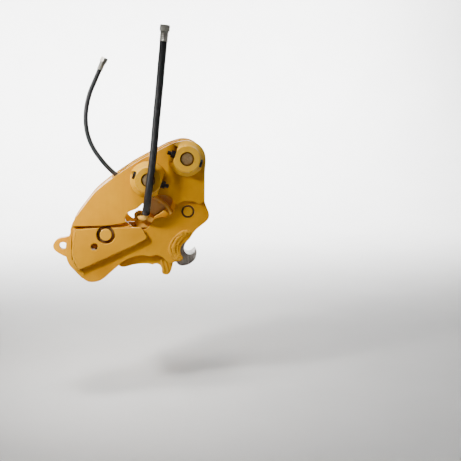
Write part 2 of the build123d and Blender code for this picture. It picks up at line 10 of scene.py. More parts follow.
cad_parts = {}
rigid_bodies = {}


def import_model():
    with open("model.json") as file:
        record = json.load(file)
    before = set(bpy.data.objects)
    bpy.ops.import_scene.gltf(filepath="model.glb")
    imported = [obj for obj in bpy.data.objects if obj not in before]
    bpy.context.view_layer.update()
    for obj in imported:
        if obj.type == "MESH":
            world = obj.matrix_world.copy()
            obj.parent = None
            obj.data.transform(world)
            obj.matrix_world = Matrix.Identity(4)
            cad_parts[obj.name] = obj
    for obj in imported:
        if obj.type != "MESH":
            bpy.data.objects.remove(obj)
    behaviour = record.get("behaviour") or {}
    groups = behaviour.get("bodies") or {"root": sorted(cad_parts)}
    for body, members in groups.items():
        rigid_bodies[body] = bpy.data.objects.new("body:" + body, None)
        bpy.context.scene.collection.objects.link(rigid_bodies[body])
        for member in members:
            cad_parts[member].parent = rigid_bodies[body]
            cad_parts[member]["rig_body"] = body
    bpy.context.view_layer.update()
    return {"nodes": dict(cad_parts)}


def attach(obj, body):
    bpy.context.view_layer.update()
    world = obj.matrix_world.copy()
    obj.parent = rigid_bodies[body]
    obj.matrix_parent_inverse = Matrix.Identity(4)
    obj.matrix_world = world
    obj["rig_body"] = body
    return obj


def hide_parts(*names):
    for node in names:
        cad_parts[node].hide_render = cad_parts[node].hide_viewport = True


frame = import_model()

nodes = frame["nodes"]
scene = bpy.context.scene
link = scene.collection.objects.link
body_of = {n: o["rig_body"] for n, o in nodes.items()}

# ------------------------------------------------------------------ camera
# the photograph's view: 7.5 degrees to the left, 10.2 above, 2 m away
SIZE, FOCAL = 461.0, 760.0
vx, vy = (130.0 - SIZE / 2) / FOCAL, (93.0 - SIZE / 2) / FOCAL
axis_y = Vector((vx, vy, 1.0)).normalized()
axis_z = Vector((0.0, -1.0, axis_y[1] / axis_y[2])).normalized()
axis_x = axis_y.cross(axis_z)
right = Vector((axis_x[0], axis_y[0], axis_z[0]))
down = Vector((axis_x[1], axis_y[1], axis_z[1]))
ahead = Vector((axis_x[2], axis_y[2], axis_z[2]))
cam_data = bpy.data.cameras.new("camera")
cam = bpy.data.objects.new("camera", cam_data)
link(cam)
scene.camera = cam
cam_data.sensor_width = 36.0
cam_data.lens = 36.0 * FOCAL / SIZE
cam_data.clip_start, cam_data.clip_end = 0.05, 60.0
cam_data.dof.use_dof = False
m = Matrix((right, -down, -ahead)).transposed().to_4x4()
m.translation = Vector((-0.1369857721, -1.96545879979, 0.1616562237))
cam.matrix_world = m


def pixel_to(px, py, y):
    # the point at depth y (mm) seen at a pixel of the photograph, in mm
    d = right * ((px - SIZE / 2) / FOCAL) + down * ((py - SIZE / 2) / FOCAL) + ahead
    o = m.translation * 1000.0
    t = (y - o.y) / d.y
    return o.x + t * d.x, o.z + t * d.z


# ------------------------------------------------------------------ materials
class Tree:
    def __init__(self, name):
        self.mat = bpy.data.materials.new(name)
        self.mat.use_nodes = True
        self.nt = self.mat.node_tree
        self.nt.nodes.clear()
        self.out = self.nt.nodes.new("ShaderNodeOutputMaterial")
        self.bsdf = self.nt.nodes.new("ShaderNodeBsdfPrincipled")
        self.nt.links.new(self.bsdf.outputs[0], self.out.inputs[0])
        self.obj = self.add("ShaderNodeTexCoord").outputs["Object"]

    def add(self, kind, **props):
        n = self.nt.nodes.new(kind)
        for k, v in props.items():
            setattr(n, k, v)
        return n

    def put(self, socket, value):
        if isinstance(value, bpy.types.NodeSocket):
            self.nt.links.new(value, socket)
        else:
            socket.default_value = value

    def mapped(self, scale=(1, 1, 1), rot=(0, 0, 0), loc=(0, 0, 0), src=None):
        n = self.add("ShaderNodeMapping")
        self.put(n.inputs["Vector"], src or self.obj)
        n.inputs["Location"].default_value = loc
        n.inputs["Rotation"].default_value = [math.radians(a) for a in rot]
        n.inputs["Scale"].default_value = scale
        return n.outputs[0]

    def noise(self, scale, detail=3.0, rough=0.55, vec=None, distort=0.0):
        n = self.add("ShaderNodeTexNoise")
        self.put(n.inputs["Vector"], vec or self.obj)
        n.inputs["Scale"].default_value = scale
        n.inputs["Detail"].default_value = detail
        n.inputs["Roughness"].default_value = rough
        n.inputs["Distortion"].default_value = distort
        return n.outputs[0]

    def voronoi(self, scale, vec=None, feature="F1"):
        n = self.add("ShaderNodeTexVoronoi", feature=feature)
        self.put(n.inputs["Vector"], vec or self.obj)
        n.inputs["Scale"].default_value = scale
        return n.outputs[0]

    def ramp(self, fac, stops, smooth=True):
        n = self.add("ShaderNodeValToRGB")
        r = n.color_ramp
        r.interpolation = "EASE" if smooth else "LINEAR"
        while len(r.elements) > 1:
            r.elements.remove(r.elements[-1])
        for i, (p, c) in enumerate(stops):
            e = r.elements[0] if i == 0 else r.elements.new(p)
            e.position = p
            e.color = (c, c, c, 1) if isinstance(c, (int, float)) else (*c, 1)
        self.put(n.inputs[0], fac)
        return n.outputs[0]

    def mix(self, fac, a, b, mode="MIX"):
        n = self.add("ShaderNodeMix", data_type="RGBA", blend_type=mode)
        self.put(n.inputs[0], fac)
        self.put(n.inputs[6], (*a, 1) if isinstance(a, tuple) and len(a) == 3 else a)
        self.put(n.inputs[7], (*b, 1) if isinstance(b, tuple) and len(b) == 3 else b)
        return n.outputs[2]

    def maths(self, op, a, b=0.0, clamp=False):
        n = self.add("ShaderNodeMath", operation=op, use_clamp=clamp)
        self.put(n.inputs[0], a)
        self.put(n.inputs[1], b)
        return n.outputs[0]

    def facing(self, axis):
        n = self.add("ShaderNodeSeparateXYZ")
        g = self.add("ShaderNodeNewGeometry")
        self.put(n.inputs[0], g.outputs["Normal"])
        return n.outputs[axis]

    def crevice(self, distance, samples=8):
        n = self.add("ShaderNodeAmbientOcclusion", samples=samples)
        n.inputs["Distance"].default_value = distance
        return n.outputs["AO"]

    def bump(self, heights):
        # heights: (height socket, strength, distance in metres)
        last = None
        for h, s, d in heights:
            n = self.add("ShaderNodeBump")
            n.inputs["Strength"].default_value = s
            n.inputs["Distance"].default_value = d
            self.put(n.inputs["Height"], h)
            if last is not None:
                self.put(n.inputs["Normal"], last)
            last = n.outputs[0]
        self.put(self.bsdf.inputs["Normal"], last)

    def done(self, colour, rough, metal=0.0, coat=0.0, coat_rough=0.2, spec=0.5):
        self.put(self.bsdf.inputs["Base Color"], colour)
        self.put(self.bsdf.inputs["Roughness"], rough)
        self.put(self.bsdf.inputs["Metallic"], metal)
        self.bsdf.inputs["Coat Weight"].default_value = coat
        self.bsdf.inputs["Coat Roughness"].default_value = coat_rough
        self.bsdf.inputs["Specular IOR Level"].default_value = spec
        return self.mat


def paint(name, base, deep, pale, grime_and_shade=0.5, bumpy=1.0, rough=0.36, worn=0.0, rings=(), spec=0.16, shade=0.62):
    # brushed-on machine enamel: tonal drift, runs, fine scratches, dust on top; painted shade in brown round the raised
    # pieces, in the crevices and in the recesses round the pins
    t = Tree(name)
    drift = t.ramp(t.noise(5.5, 3, 0.5), [(0.30, deep), (0.50, base), (0.72, pale)])
    blot = t.ramp(t.noise(46, 5, 0.62, distort=0.6), [(0.42, 0.0), (0.66, 1.0)])
    col = t.mix(t.maths("MULTIPLY", blot, 0.16), drift, deep)
    runs = t.ramp(t.noise(1.0, 3, 0.5, vec=t.mapped(scale=(85, 85, 9))), [(0.46, 0.0), (0.72, 1.0)])
    col = t.mix(t.maths("MULTIPLY", runs, 0.14), col, deep)
    speck = t.ramp(t.noise(620, 2, 0.5), [(0.62, 0.0), (0.74, 1.0)])
    col = t.mix(t.maths("MULTIPLY", speck, 0.13), col, pale)
    fine = t.noise(1.0, 2, 0.6, vec=t.mapped(scale=(60, 900, 1300), rot=(0, 24, 0)))
    fine2 = t.noise(1.0, 2, 0.6, vec=t.mapped(scale=(1100, 800, 50), rot=(0, -31, 0)))
    patches = t.ramp(t.noise(14, 2, 0.5), [(0.45, 0.0), (0.66, 1.0)])
    scratch = t.maths("MULTIPLY", t.maths("MAXIMUM", t.ramp(fine, [(0.68, 0.0), (0.75, 1.0)]),
                                          t.ramp(fine2, [(0.70, 0.0), (0.77, 1.0)])), patches)
    col = t.mix(t.maths("MULTIPLY", scratch, 0.35), col, (0.88, 0.55, 0.10))
    if worn:
        chip = t.ramp(t.noise(150, 5, 0.7, distort=0.4), [(0.56 - 0.10 * worn, 0.0), (0.62 - 0.06 * worn, 1.0)])
        col = t.mix(t.maths("MULTIPLY", chip, 0.75), col, (0.88, 0.56, 0.13))
        bare = t.ramp(t.noise(260, 4, 0.65), [(0.66, 0.0), (0.71, 1.0)])
        col = t.mix(t.maths("MULTIPLY", bare, 0.7), col, (0.16, 0.085, 0.035))
    dust = t.maths("MULTIPLY", t.ramp(t.facing(2), [(0.35, 0.0), (0.9, 1.0)]),
                   t.ramp(t.noise(70, 4, 0.6), [(0.30, 0.15), (0.75, 0.65)]))
    col = t.mix(t.maths("MULTIPLY", dust, 0.40), col, (0.72, 0.46, 0.14))
    # painted shade: the paint is darkened to deep brown in the hollows round the raised pieces, standing for the shade
    # they cast
    painted_shade = t.maths("MULTIPLY", t.ramp(t.crevice(0.045), [(0.30, 1.0), (0.92, 0.0)]),
                      t.ramp(t.noise(60, 4, 0.6), [(0.20, 0.55), (0.70, 1.0)]))
    col = t.mix(t.maths("MULTIPLY", painted_shade, shade), col, (0.400, 0.160, 0.003))
    # painted shade with soiling: the close crevices are darkened to near black brown, standing for the shade in them;
    # the same mask roughens the paint below
    ao = t.crevice(0.010)
    crevice_darkening = t.maths("MULTIPLY", t.ramp(ao, [(0.22, 1.0), (0.72, 0.0)]),
                   t.ramp(t.noise(110, 4, 0.6), [(0.22, 0.35), (0.62, 1.0)]))
    col = t.mix(t.maths("MULTIPLY", crevice_darkening, grime_and_shade), col, (0.150, 0.055, 0.004))
    for cx, cz, r in rings:
        # painted shade with old grease: the recess round a pin is darkened to near black brown, standing for the shade
        # in the recess
        sep = t.add("ShaderNodeSeparateXYZ")
        t.put(sep.inputs[0], t.obj)
        dx, dz = t.maths("SUBTRACT", sep.outputs[0], cx), t.maths("SUBTRACT", sep.outputs[2], cz)
        dist = t.maths("SQRT", t.maths("ADD", t.maths("MULTIPLY", dx, dx), t.maths("MULTIPLY", dz, dz)))
        dist = t.maths("ADD", dist, t.maths("MULTIPLY", t.noise(220, 3, 0.6), 0.0012))
        recess_shade_and_grease = t.ramp(t.maths("MULTIPLY", dist, 1.0 / (r + 0.0014)), [(0.93, 0.92), (1.0, 0.0)])
        col = t.mix(recess_shade_and_grease, col, (0.085, 0.036, 0.006))
    peel = t.noise(560, 2, 0.5)
    wave = t.noise(34, 3, 0.5)
    pits = t.noise(190, 4, 0.6)
    t.bump([(wave, 0.35 * bumpy, 0.0012), (pits, 0.16 * bumpy, 0.0006), (peel, 0.14 * bumpy, 0.0003),
            (scratch, 0.10, 0.0002)])
    r = t.maths("ADD", t.maths("MULTIPLY", t.noise(38, 4, 0.6), 0.30), rough - 0.13)
    r = t.maths("ADD", r, t.maths("MULTIPLY", crevice_darkening, 0.25), clamp=True)
    return t.done(col, r, coat=0.0, coat_rough=0.25, spec=spec)


YELLOW = (0.800, 0.350, 0.002)
YELLOW_DEEP = (0.620, 0.250, 0.001)
YELLOW_PALE = (0.880, 0.425, 0.005)
mat_paint = paint("yellow_enamel", YELLOW, YELLOW_DEEP, YELLOW_PALE,
                  rings=[(-0.206, -0.1906, 0.0236), (0.003, -0.1364, 0.0170), (-0.2352, -0.2204, 0.0094)])
# the bevelled edges take a paler, glossier enamel with chips: real wear, and a painted highlight along the edges
mat_edge_wear_and_highlight = paint("yellow_enamel_edge_worn_and_highlit", (0.88, 0.455, 0.012), YELLOW, (0.92, 0.56, 0.06), grime_and_shade=0.55, rough=0.30, worn=0.7, spec=0.34)
mat_doubler = paint("yellow_enamel_doubler", (0.740, 0.330, 0.003), (0.620, 0.262, 0.001), (0.820, 0.395, 0.006),
                    rings=[(-0.206, -0.1906, 0.0232), (-0.2352, -0.2204, 0.0094)])
mat_boss = paint("yellow_enamel_boss", (0.850, 0.430, 0.010), (0.760, 0.350, 0.004), (0.900, 0.510, 0.035), bumpy=0.6, rough=0.28, spec=0.3,
                 rings=[(0.0, 0.0, 0.0178), (-0.0972, -0.0514, 0.0178)])
mat_weld = paint("yellow_enamel_weld", (0.770, 0.358, 0.008), (0.640, 0.265, 0.004), (0.840, 0.430, 0.025), grime_and_shade=0.75, bumpy=1.4, rough=0.40)
# painted light: the parts inside the frame take a paler enamel with little painted shade, standing for light reaching
# into the frame
mat_inside_painted_light = paint("yellow_enamel_inside_painted_light", (0.84, 0.480, 0.075), (0.72, 0.370, 0.030), (0.90, 0.600, 0.18), grime_and_shade=0.45, bumpy=0.8, spec=0.3, shade=0.15)


def metal(name, base, dark, light, rough=0.42, metallic=0.9, rust=0.0, grain=None, rings=None, bumpy=1.0, ao=0.35):
    t = Tree(name)
    col = t.ramp(t.noise(24, 5, 0.6), [(0.28, dark), (0.52, base), (0.78, light)])
    mott = t.ramp(t.noise(170, 5, 0.65), [(0.40, 0.0), (0.70, 1.0)])
    col = t.mix(t.maths("MULTIPLY", mott, 0.35), col, dark)
    heights = [(t.noise(60, 4, 0.6), 0.30 * bumpy, 0.0008), (t.noise(420, 4, 0.65), 0.22 * bumpy, 0.0004)]
    if grain:
        g = t.noise(1.0, 3, 0.6, vec=t.mapped(scale=grain[0], rot=grain[1]))
        col = t.mix(t.maths("MULTIPLY", t.ramp(g, [(0.48, 0.0), (0.68, 1.0)]), 0.55), col, light)
        heights.append((g, 0.40, 0.0003))
    if rings:
        w = t.add("ShaderNodeTexWave", wave_type="RINGS", rings_direction="Y")
        t.put(w.inputs["Vector"], t.mapped(loc=(-rings[0], 0, -rings[1])))
        w.inputs["Scale"].default_value = 290.0
        w.inputs["Distortion"].default_value = 0.6
        w.inputs["Detail"].default_value = 2.0
        heights.append((w.outputs["Fac"], 0.35, 0.00022))
        col = t.mix(t.maths("MULTIPLY", w.outputs["Fac"], 0.16), col, light)
    if rust:
        patch = t.ramp(t.noise(42, 6, 0.7, distort=0.8), [(0.52 - 0.1 * rust, 0.0), (0.68 - 0.1 * rust, 1.0)])
        tint = t.ramp(t.noise(300, 3, 0.6), [(0.3, (0.105, 0.046, 0.018)), (0.7, (0.235, 0.110, 0.040))])
        col = t.mix(t.maths("MULTIPLY", patch, 0.55 * min(1.0, rust)), col, tint)
        m_out = t.maths("SUBTRACT", metallic, t.maths("MULTIPLY", patch, 0.5 * min(1.0, rust)), clamp=True)
        r_out = t.maths("ADD", t.maths("MULTIPLY", t.noise(90, 4, 0.6), 0.26),
                        t.maths("ADD", t.maths("MULTIPLY", patch, 0.2), rough - 0.12), clamp=True)
    else:
        m_out = metallic
        r_out = t.maths("ADD", t.maths("MULTIPLY", t.noise(90, 4, 0.6), 0.24), rough - 0.12, clamp=True)
    if ao:
        # darker in the close crevices, towards near black
        crevice_darkening = t.ramp(t.crevice(0.008), [(0.20, 1.0), (0.70, 0.0)])
        col = t.mix(t.maths("MULTIPLY", crevice_darkening, ao), col, (0.03, 0.022, 0.016))
    t.bump(heights)
    return t.done(col, r_out, m_out)


mat_forged = metal("forged_steel", (0.430, 0.395, 0.355), (0.130, 0.110, 0.092), (0.800, 0.765, 0.710), rough=0.40,
                   metallic=0.45, rust=0.5, grain=((230, 230, 34), (0, 10, 0)), bumpy=1.7)
mat_forged_edge = metal("forged_steel_edge", (0.66, 0.63, 0.57), (0.46, 0.42, 0.37), (0.84, 0.82, 0.77), rough=0.30,
                        metallic=0.6, rust=0.1, bumpy=0.7)


def pin_metal(name, centre):
    return metal(name, (0.560, 0.370, 0.170), (0.300, 0.180, 0.070), (0.820, 0.640, 0.380), rough=0.36, metallic=0.75,
                 rust=0.15, rings=centre, bumpy=0.8)


mat_steel = metal("ground_steel", (0.560, 0.555, 0.540), (0.400, 0.390, 0.375), (0.740, 0.735, 0.720), rough=0.26,
                  metallic=1.0, grain=((18, 500, 500), (0, 0, 0)), bumpy=0.35)
mat_zinc = metal("zinc_plate", (0.540, 0.530, 0.480), (0.330, 0.315, 0.270), (0.720, 0.710, 0.660), rough=0.34,
                 metallic=0.9, rust=0.1, bumpy=0.5)
mat_black = metal("black_oxide", (0.030, 0.029, 0.028), (0.014, 0.013, 0.013), (0.075, 0.070, 0.064), rough=0.40,
                  metallic=0.6, rust=0.25, bumpy=0.9)
mat_bronze = metal("bush_bronze", (0.50, 0.30, 0.11), (0.33, 0.18, 0.06), (0.68, 0.46, 0.22), rough=0.34, metallic=0.95,
                   bumpy=0.5)


def rubber(name, base, dark, light, pitch, seal=False):
    # wrapped cover: a fine spiral left by the curing tape, scuffs and dust
    t = Tree(name)
    col = t.ramp(t.noise(30, 4, 0.6), [(0.30, dark), (0.55, base), (0.85, light)])
    scuff = t.ramp(t.noise(1.0, 3, 0.6, vec=t.mapped(scale=(260, 260, 40))), [(0.58, 0.0), (0.72, 1.0)])
    col = t.mix(t.maths("MULTIPLY", scuff, 0.30), col, light)
    heights = [(t.noise(900, 3, 0.6), 0.12, 0.0002), (t.noise(160, 3, 0.6), 0.16, 0.0004)]
    if not seal:
        w = t.add("ShaderNodeTexWave", wave_type="BANDS", bands_direction="X")
        uv = t.add("ShaderNodeTexCoord").outputs["UV"]
        t.put(w.inputs["Vector"], t.mapped(scale=(pitch, 1, 1), src=uv))
        w.inputs["Scale"].default_value = 0.3142
        w.inputs["Distortion"].default_value = 1.2
        w.inputs["Detail"].default_value = 2.0
        w.inputs["Detail Scale"].default_value = 0.4
        heights.append((w.outputs["Fac"], 0.55, 0.00035))
        col = t.mix(t.maths("MULTIPLY", w.outputs["Fac"], 0.22), col, dark)
    t.bump(heights)
    r = t.maths("ADD", t.maths("MULTIPLY", t.noise(120, 3, 0.6), 0.22), 0.34, clamp=True)
    return t.done(col, r, spec=0.45)


mat_hose = rubber("pressure_hose_cover", (0.021, 0.022, 0.024), (0.011, 0.012, 0.013), (0.050, 0.054, 0.060), 150)
mat_hose_thin = rubber("return_hose_cover", (0.017, 0.018, 0.020), (0.009, 0.010, 0.011), (0.042, 0.046, 0.052), 190)
mat_seal = rubber("seal_rubber_black", (0.020, 0.020, 0.021), (0.010, 0.010, 0.010), (0.045, 0.044, 0.044), 1, seal=True)

# ------------------------------------------------------------------ pieces made from the frame's own shapes


def tidy(mesh, dissolve=0.9):
    bm = bmesh.new()
    bm.from_mesh(mesh)
    bmesh.ops.remove_doubles(bm, verts=bm.verts, dist=8e-6)
    bmesh.ops.dissolve_limit(bm, angle_limit=math.radians(dissolve), verts=bm.verts, edges=bm.edges,
                             use_dissolve_boundaries=False, delimit=set())
    for f in bm.faces:
        f.smooth = not (len(f.verts) > 4 or f.calc_area() > 6e-5)
    bm.to_mesh(mesh)
    bm.free()


def skin(node, mats, width=0.0011, angle=32, segments=2):
    src = nodes[node]
    me = src.data.copy()
    me.name = node + "_skin"
    me.materials.clear()
    ob = bpy.data.objects.new(node + "_skin", me)
    link(ob)
    tidy(me)
    for x in mats:
        me.materials.append(x)
    for p in me.polygons:
        p.material_index = 0
    b = ob.modifiers.new("edges", "BEVEL")
    b.width = width
    b.segments = segments
    b.limit_method = "ANGLE"
    b.angle_limit = math.radians(angle)
    b.use_clamp_overlap = True
    b.harden_normals = True
    b.miter_outer = "MITER_ARC"
    if len(mats) > 1:
        b.material = 1
    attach(ob, body_of[node])
    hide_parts(node)
    return ob


def new_mesh(name, verts, faces, mat, body, slot=None, smooth=True, replaces=()):
    me = bpy.data.meshes.new(name)
    me.from_pydata([tuple(v) for v in verts], [], faces)
    me.validate()
    me.update()
    for p in me.polygons:
        p.use_smooth = smooth
    me.materials.append(mat)
    ob = bpy.data.objects.new(name, me)
    link(ob)
    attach(ob, body)
    if replaces:
        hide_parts(*replaces)
    return ob


def axes(d):
    d = Vector(d).normalized()
    a = Vector((0, 0, 1)) if abs(d.z) < 0.9 else Vector((1, 0, 0))
    u = d.cross(a).normalized()
    return d, u, d.cross(u)


def lathe(name, p0, d, profile, mat, body, seg=72, radius=None, **kw):
    # profile: (distance along d, radius) in mm, closed round; radius(angle, r, s) may shape it
    d, u, v = axes(d)
    p0 = Vector(p0)
    verts, faces = [], []
    n = len(profile)
    for s, r in profile:
        for k in range(seg):
            a = 2 * math.pi * k / seg
            rr = radius(a, r, s) if radius else r
            verts.append((p0 + d * s + (u * math.cos(a) + v * math.sin(a)) * rr) / 1000.0)
    for i in range(n):
        j = (i + 1) % n
        for k in range(seg):
            q = (k + 1) % seg
            faces.append((i * seg + k, i * seg + q, j * seg + q, j * seg + k))
    me_ob = new_mesh(name, verts, faces, mat, body, **kw)
    bm = bmesh.new()
    bm.from_mesh(me_ob.data)
    bmesh.ops.remove_doubles(bm, verts=bm.verts, dist=1e-6)
    bmesh.ops.recalc_face_normals(bm, faces=bm.faces)
    bm.to_mesh(me_ob.data)
    bm.free()
    sharpen(me_ob)
    return me_ob


def sharpen(ob, angle=38):
    me = ob.data
    bm = bmesh.new()
    bm.from_mesh(me)
    for e in bm.edges:
        e.smooth = not (len(e.link_faces) == 2 and e.calc_face_angle(0.0) > math.radians(angle))
    bm.to_mesh(me)
    bm.free()


def hex_radius(flats, turn=0.0):
    def f(a, r, s):
        k = (a + turn) % (math.pi / 3)
        return min(r, flats / 2 / math.cos(k - math.pi / 6))
    return f


def hex_nut(name, p0, d, flats, length, bore, mat, body, **kw):
    top = flats / 2 / math.cos(math.pi / 6)
    c = (top - flats / 2) * 1.25
    prof = [(0, bore), (0, top - c), (c * 0.55, top), (length - c * 0.55, top), (length, top - c), (length, bore)]
    # extra rings so that the chamfer reads as curved arcs on the flats
    full = []
    for i, (s, r) in enumerate(prof[:-1]):
        full.append((s, r))
        s2, r2 = prof[i + 1]
        if i in (1, 3):
            for t in (0.25, 0.5, 0.75):
                full.append((s + (s2 - s) * t, r + (r2 - r) * t))
    full.append(prof[-1])
    return lathe(name, p0, d, full, mat, body, radius=lambda a, r, s: r if r <= bore + 1e-6 else hex_radius(flats)(a, r, s), **kw)


def crimped(name, p0, d, length, r, hose_r, rings, mat, body, **kw):
    # ferrule squeezed by eight jaws: rings of shallow grooves and eight soft flats
    prof = [(0, hose_r + 0.15), (0, r - 0.9), (0.35, r - 0.35), (1.0, r)]
    a, b = 2.2, length - 2.6
    for i in range(rings):
        c = a + (b - a) * (i + 0.5) / rings
        w = (b - a) / rings * 0.30
        prof += [(c - w * 1.25, r), (c - w * 0.8, r - 0.55), (c + w * 0.8, r - 0.55), (c + w * 1.25, r)]
    prof += [(length - 1.0, r), (length - 0.35, r - 0.35), (length, r - 0.9), (length, hose_r * 0.55), (length - 3.0, hose_r * 0.55), (length - 3.0, hose_r + 0.15)]

    def jaws(ang, rr, s):
        if rr < r - 1.0:
            return rr
        k = (ang % (math.pi / 4)) / (math.pi / 4)
        ridge = 0.22 * math.exp(-((k - 0.5) / 0.10) ** 2)
        mid = 1.0 if 1.5 < s < length - 2.0 else 0.0
        return rr - 0.22 * mid + ridge * mid
    return lathe(name, p0, d, prof, mat, body, seg=96, radius=jaws, **kw)


def bvh(node):
    bm = bmesh.new()
    bm.from_mesh(nodes[node].data)
    bmesh.ops.remove_doubles(bm, verts=bm.verts, dist=8e-6)
    t = BVHTree.FromBMesh(bm)
    bm.free()
    return t


_trees = {}


def inside(node, p):
    if node not in _trees:
        _trees[node] = bvh(node)
    t, d = _trees[node], Vector((0.3141, 0.0271, 0.9489)).normalized()
    o, n = Vector(p) / 1000.0, 0
    for _ in range(60):
        hit = t.ray_cast(o, d)
        if hit[0] is None:
            break
        n += 1
        o = hit[0] + d * 1e-6
    return n % 2 == 1


def resample(pts, step, closed=False):
    pts = [Vector(p) for p in pts]
    if closed:
        pts = pts + [pts[0]]
    out, need = [pts[0].copy()], step
    for a, b in zip(pts, pts[1:]):
        length = (b - a).length
        if length < 1e-9:
            continue
        pos = need
        while pos <= length:
            out.append(a + (b - a) * (pos / length))
            pos += step
        need = pos - length
    if closed and (out[-1] - out[0]).length < step * 0.5:
        out.pop()
    elif not closed and (out[-1] - pts[-1]).length > step * 0.3:
        out.append(pts[-1].copy())
    return out


def bead(name, body, pts, r, normal, closed=False, squash=0.72, pitch=None, seed=1, mat=None, slot="yellow_paint", lumpy=1.0):
    # weld bead: stacked half-moon ripples along a seam, with wandering width; pts in mm, r its half width
    pitch = pitch or r * 0.62
    path = resample(pts, pitch / 5.0, closed)
    n = len(path)
    if n < 6:
        return None
    rng = random.Random(seed)
    ph = rng.random() * 40
    seg = 12
    verts, faces = [], []
    nrm0 = Vector(normal).normalized() if normal is not None else None
    s = 0.0
    total = sum((path[i + 1] - path[i]).length for i in range(n - 1))
    for i, p in enumerate(path):
        a = path[(i - 1) % n] if closed or i > 0 else path[i]
        b = path[(i + 1) % n] if closed or i < n - 1 else path[i]
        t = (b - a).normalized()
        nn = (nrm0 - t * nrm0.dot(t)).normalized()
        side = t.cross(nn)
        wide = 1.0 + lumpy * (0.13 * noise.noise(Vector((s * 0.055 + ph, seed, 0.3))) + 0.10 * noise.noise(Vector((s * 0.31 + ph, seed, 1.7))))
        drift = 0.10 * r * noise.noise(Vector((s * 0.08, seed, 7.7)))
        if not closed:
            e = min(s, total - s) / (r * 0.9)
            wide *= math.sqrt(max(0.02, 1.0 - (1.0 - min(1.0, e)) ** 2))
        for k in range(seg):
            ang = 2 * math.pi * k / seg
            ca, sa = math.cos(ang), math.sin(ang)
            # ripple crests bow backwards in the middle of the bead
            u = (s / pitch + 0.55 * max(0.0, sa) + 0.12 * noise.noise(Vector((s * 0.2, k, seed)))) % 1.0
            rip = 1.0 + (0.7 + 0.3 * lumpy) * (0.16 * (1 - u) ** 1.5 - 0.08) * (0.35 + 0.65 * max(0.0, sa))
            verts.append((p + side * (ca * r * wide * rip + drift) + nn * (sa * r * squash * wide * rip)) / 1000.0)
        if i < n - 1:
            s += (path[i + 1] - path[i]).length
    for i in range(n if closed else n - 1):
        j = (i + 1) % n
        for k in range(seg):
            q = (k + 1) % seg
            faces.append((i * seg + k, i * seg + q, j * seg + q, j * seg + k))
    if not closed:
        faces.append(tuple(reversed(range(seg))))
        faces.append(tuple(range((n - 1) * seg, n * seg)))
    ob = new_mesh(name, verts, faces, mat or mat_weld, body, slot=slot)
    bm = bmesh.new()
    bm.from_mesh(ob.data)
    bmesh.ops.recalc_face_normals(bm, faces=bm.faces)
    bm.to_mesh(ob.data)
    bm.free()
    return ob


def smooth(pts, per=8):
    # a smooth line through the points of a seam
    pts = [Vector(p) for p in pts]
    out = []
    for i in range(len(pts) - 1):
        p0, p1, p2, p3 = pts[max(0, i - 1)], pts[i], pts[i + 1], pts[min(len(pts) - 1, i + 2)]
        for k in range(per):
            t = k / per
            out.append(0.5 * ((2 * p1) + (p2 - p0) * t + (2 * p0 - 5 * p1 + 4 * p2 - p3) * t * t
                              + (3 * p1 - p0 - 3 * p2 + p3) * t * t * t))
    out.append(pts[-1])
    return out


def loops_at(node, y):
    # closed outlines (mm, XZ) of a node's flat face at this y
    bm = bmesh.new()
    bm.from_mesh(nodes[node].data)
    bmesh.ops.remove_doubles(bm, verts=bm.verts, dist=8e-6)
    on = lambda v: abs(v.co.y * 1000 - y) < 0.05
    flat = {f for f in bm.faces if all(on(v) for v in f.verts)}
    nxt = {}
    for e in bm.edges:
        fs = [f for f in e.link_faces if f in flat]
        if len(fs) == 1:
            a, b = e.verts
            nxt.setdefault(a.index, []).append(b.index)
            nxt.setdefault(b.index, []).append(a.index)
    co = {v.index: (v.co.x * 1000, v.co.z * 1000) for v in bm.verts}
    bm.free()
    seen, loops = set(), []
    for start in sorted(nxt):
        if start in seen:
            continue
        loop, prev, cur = [start], None, start
        seen.add(start)
        while True:
            step = [q for q in nxt[cur] if q != prev and (q not in seen or q == loop[0])]
            step = [q for q in step if not (q == loop[0] and len(loop) < 3)]
            if not step:
                break
            q = step[0]
            if q == loop[0]:
                break
            loop.append(q)
            seen.add(q)
            prev, cur = cur, q
        if len(loop) > 2:
            loops.append([co[q] for q in loop])
    size = lambda l: (max(p[0] for p in l) - min(p[0] for p in l)) * (max(p[1] for p in l) - min(p[1] for p in l))
    return sorted(loops, key=size, reverse=True)


def area(loop):
    return sum(a[0] * b[1] - b[0] * a[1] for a, b in zip(loop, loop[1:] + loop[:1])) / 2


def seam(tag, node, y, base, r, body="frame", skip=lambda x, z: False, avoid=(), off=0.45):
    # bead round the foot of a plate, wherever there is metal under it to weld to; y is the foot's plane
    loop = loops_at(node, y)[0]
    if area(loop) < 0:
        loop = loop[::-1]
    path = resample([(x, 0, z) for x, z in loop], 1.0, True)
    n = len(path)
    s = -1 if y < 0 else 1
    ok = []
    for i, p in enumerate(path):
        t = path[(i + 2) % n] - path[(i - 2) % n]
        out = Vector((t.z, 0, -t.x)).normalized()
        q = p + out * (off * r)
        far = p + out * (r * 1.1)
        below = (far.x, y - s * 1.0, far.z)
        good = inside(base, below) and not skip(p.x, p.z)
        for a in avoid:
            good = good and not inside(a, (q.x, y + s * 1.0, q.z))
        ok.append((good, Vector((q.x, y, q.z))))
    made = []
    if all(g for g, _ in ok):
        made.append(bead(f"weld_{tag}_1", body, [q for _, q in ok], r, (0, s, 0), closed=True, seed=len(tag)))
        return made
    first = next(i for i in range(n) if not ok[i][0])
    run, k = [], 0
    for i in range(first, first + n + 1):
        g, q = ok[i % n]
        if g:
            run.append(q)
        else:
            if len(run) > 3 * r:
                k += 1
                made.append(bead(f"weld_{tag}_{k}", body, run, r, (0, s, 0), seed=len(tag) * 7 + k))
            run = []
    return made


